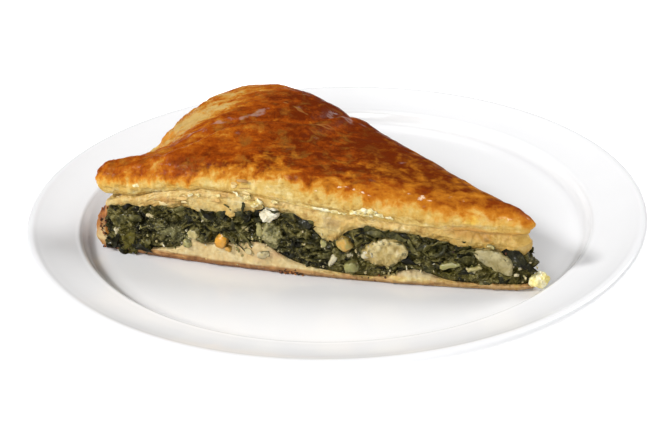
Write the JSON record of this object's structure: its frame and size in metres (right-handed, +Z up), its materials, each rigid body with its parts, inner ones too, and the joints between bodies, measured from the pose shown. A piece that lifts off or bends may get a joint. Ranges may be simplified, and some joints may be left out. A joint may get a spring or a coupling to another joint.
{
  "type": "spanakopita slice on plate",
  "caption": "Wedge of spinach and cheese pie with a puffed, glazed lid, served cut side forward on a round white plate.",
  "frame": {"origin": "centre of the plate's foot ring, on the surface that the plate stands on", "axes": "+Z up; the slice's open cut faces -Y and its point is towards +X"},
  "size_m": [0.2408, 0.2408, 0.0525],
  "materials": {
    "plate": "smooth white glaze",
    "bottom_crust": "baked dough, browned underneath",
    "spinach_filling": "wet dark green leaves",
    "cover_sheet": "pale soft dough",
    "top_crust": "egg washed, golden to deep brown",
    "feta_lump": "cream cheese curd, stained by the filling",
    "cheese_slab": "smooth pale cheese",
    "feta_crumb": "white crumbly cheese",
    "onion_piece": "soft translucent onion",
    "tip_cheese": "melted yellow cheese"
  },
  "bodies": {
    "root": {"plate": "plate", "bottom_crust": "bottom_crust", "spinach_filling": "spinach_filling", "cover_sheet": "cover_sheet", "top_crust": "top_crust", "feta_lump": "feta_lump", "cheese_slab": "cheese_slab", "feta_crumb": "feta_crumb", "onion_piece": "onion_piece", "tip_cheese": "tip_cheese"}
  },
  "joints": []
}
